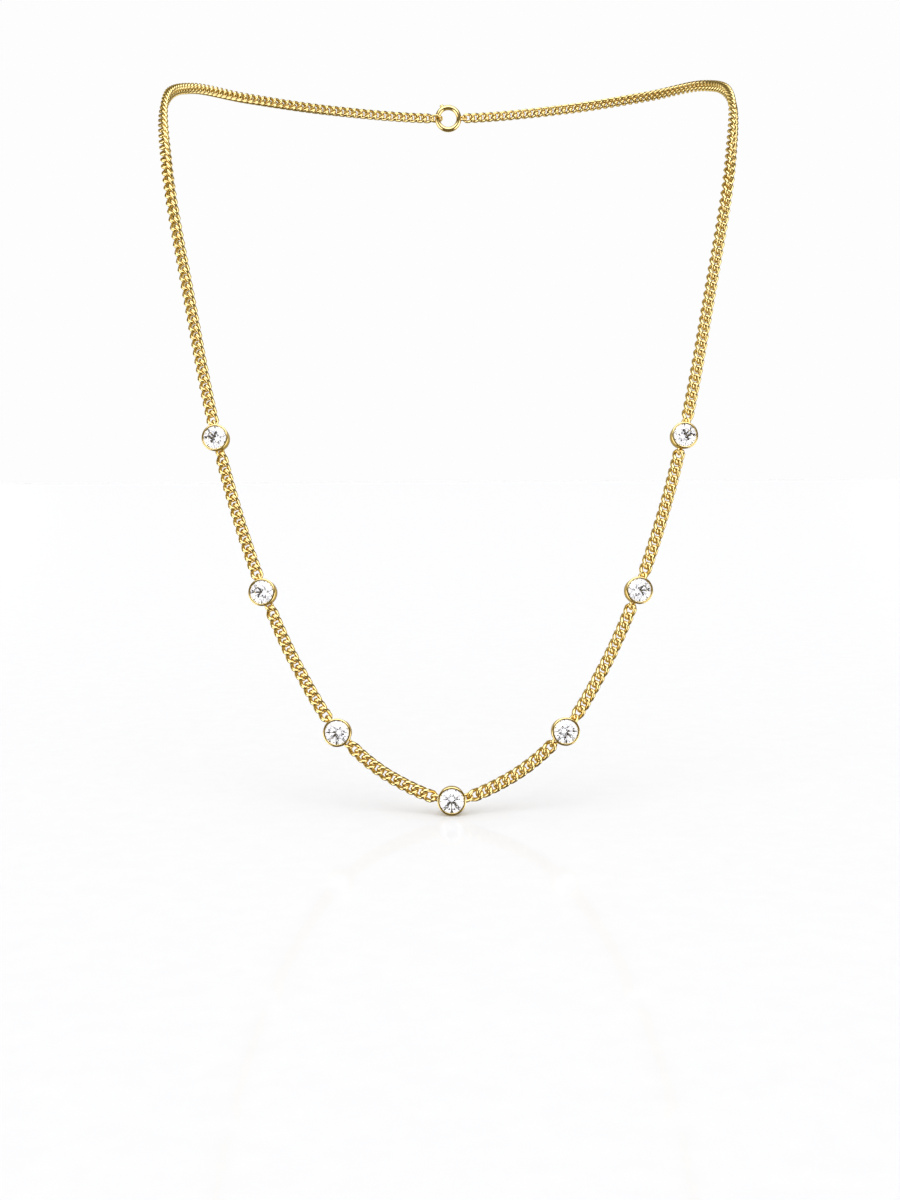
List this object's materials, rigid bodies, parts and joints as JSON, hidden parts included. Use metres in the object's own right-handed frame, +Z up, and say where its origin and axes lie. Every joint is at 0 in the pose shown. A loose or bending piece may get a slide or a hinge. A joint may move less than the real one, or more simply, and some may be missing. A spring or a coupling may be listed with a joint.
{
  "type": "bezel link necklace",
  "caption": "Curb chain necklace with round bezel-set stones spaced along its front, closed by a ring clasp at the nape.",
  "frame": {"origin": "middle of the clasp, where the necklace lies on the nape", "axes": "+X towards the wearer's left, +Y backwards, away from the neck at the nape, +Z up"},
  "size_m": [0.1056, 0.1043, 0.1333],
  "materials": {
    "gold": "polished",
    "stone": "faceted, clear"
  },
  "bodies": {
    "root": {"bezel_1": "gold", "bezel_2": "gold", "bezel_3": "gold", "bezel_4": "gold", "bezel_5": "gold", "bezel_6": "gold", "bezel_7": "gold", "stone_1": "stone", "stone_2": "stone", "stone_3": "stone", "stone_4": "stone", "stone_5": "stone", "stone_6": "stone", "stone_7": "stone", "chain_1_2": "gold", "chain_2_3": "gold", "chain_3_4": "gold", "chain_4_5": "gold", "chain_5_6": "gold", "chain_6_7": "gold", "side_chain_left": "gold", "side_chain_right": "gold", "back_chain_left": "gold", "back_chain_right": "gold", "end_links_left": "gold", "end_links_right": "gold", "clasp": "gold", "end_ring": "gold"}
  },
  "joints": []
}
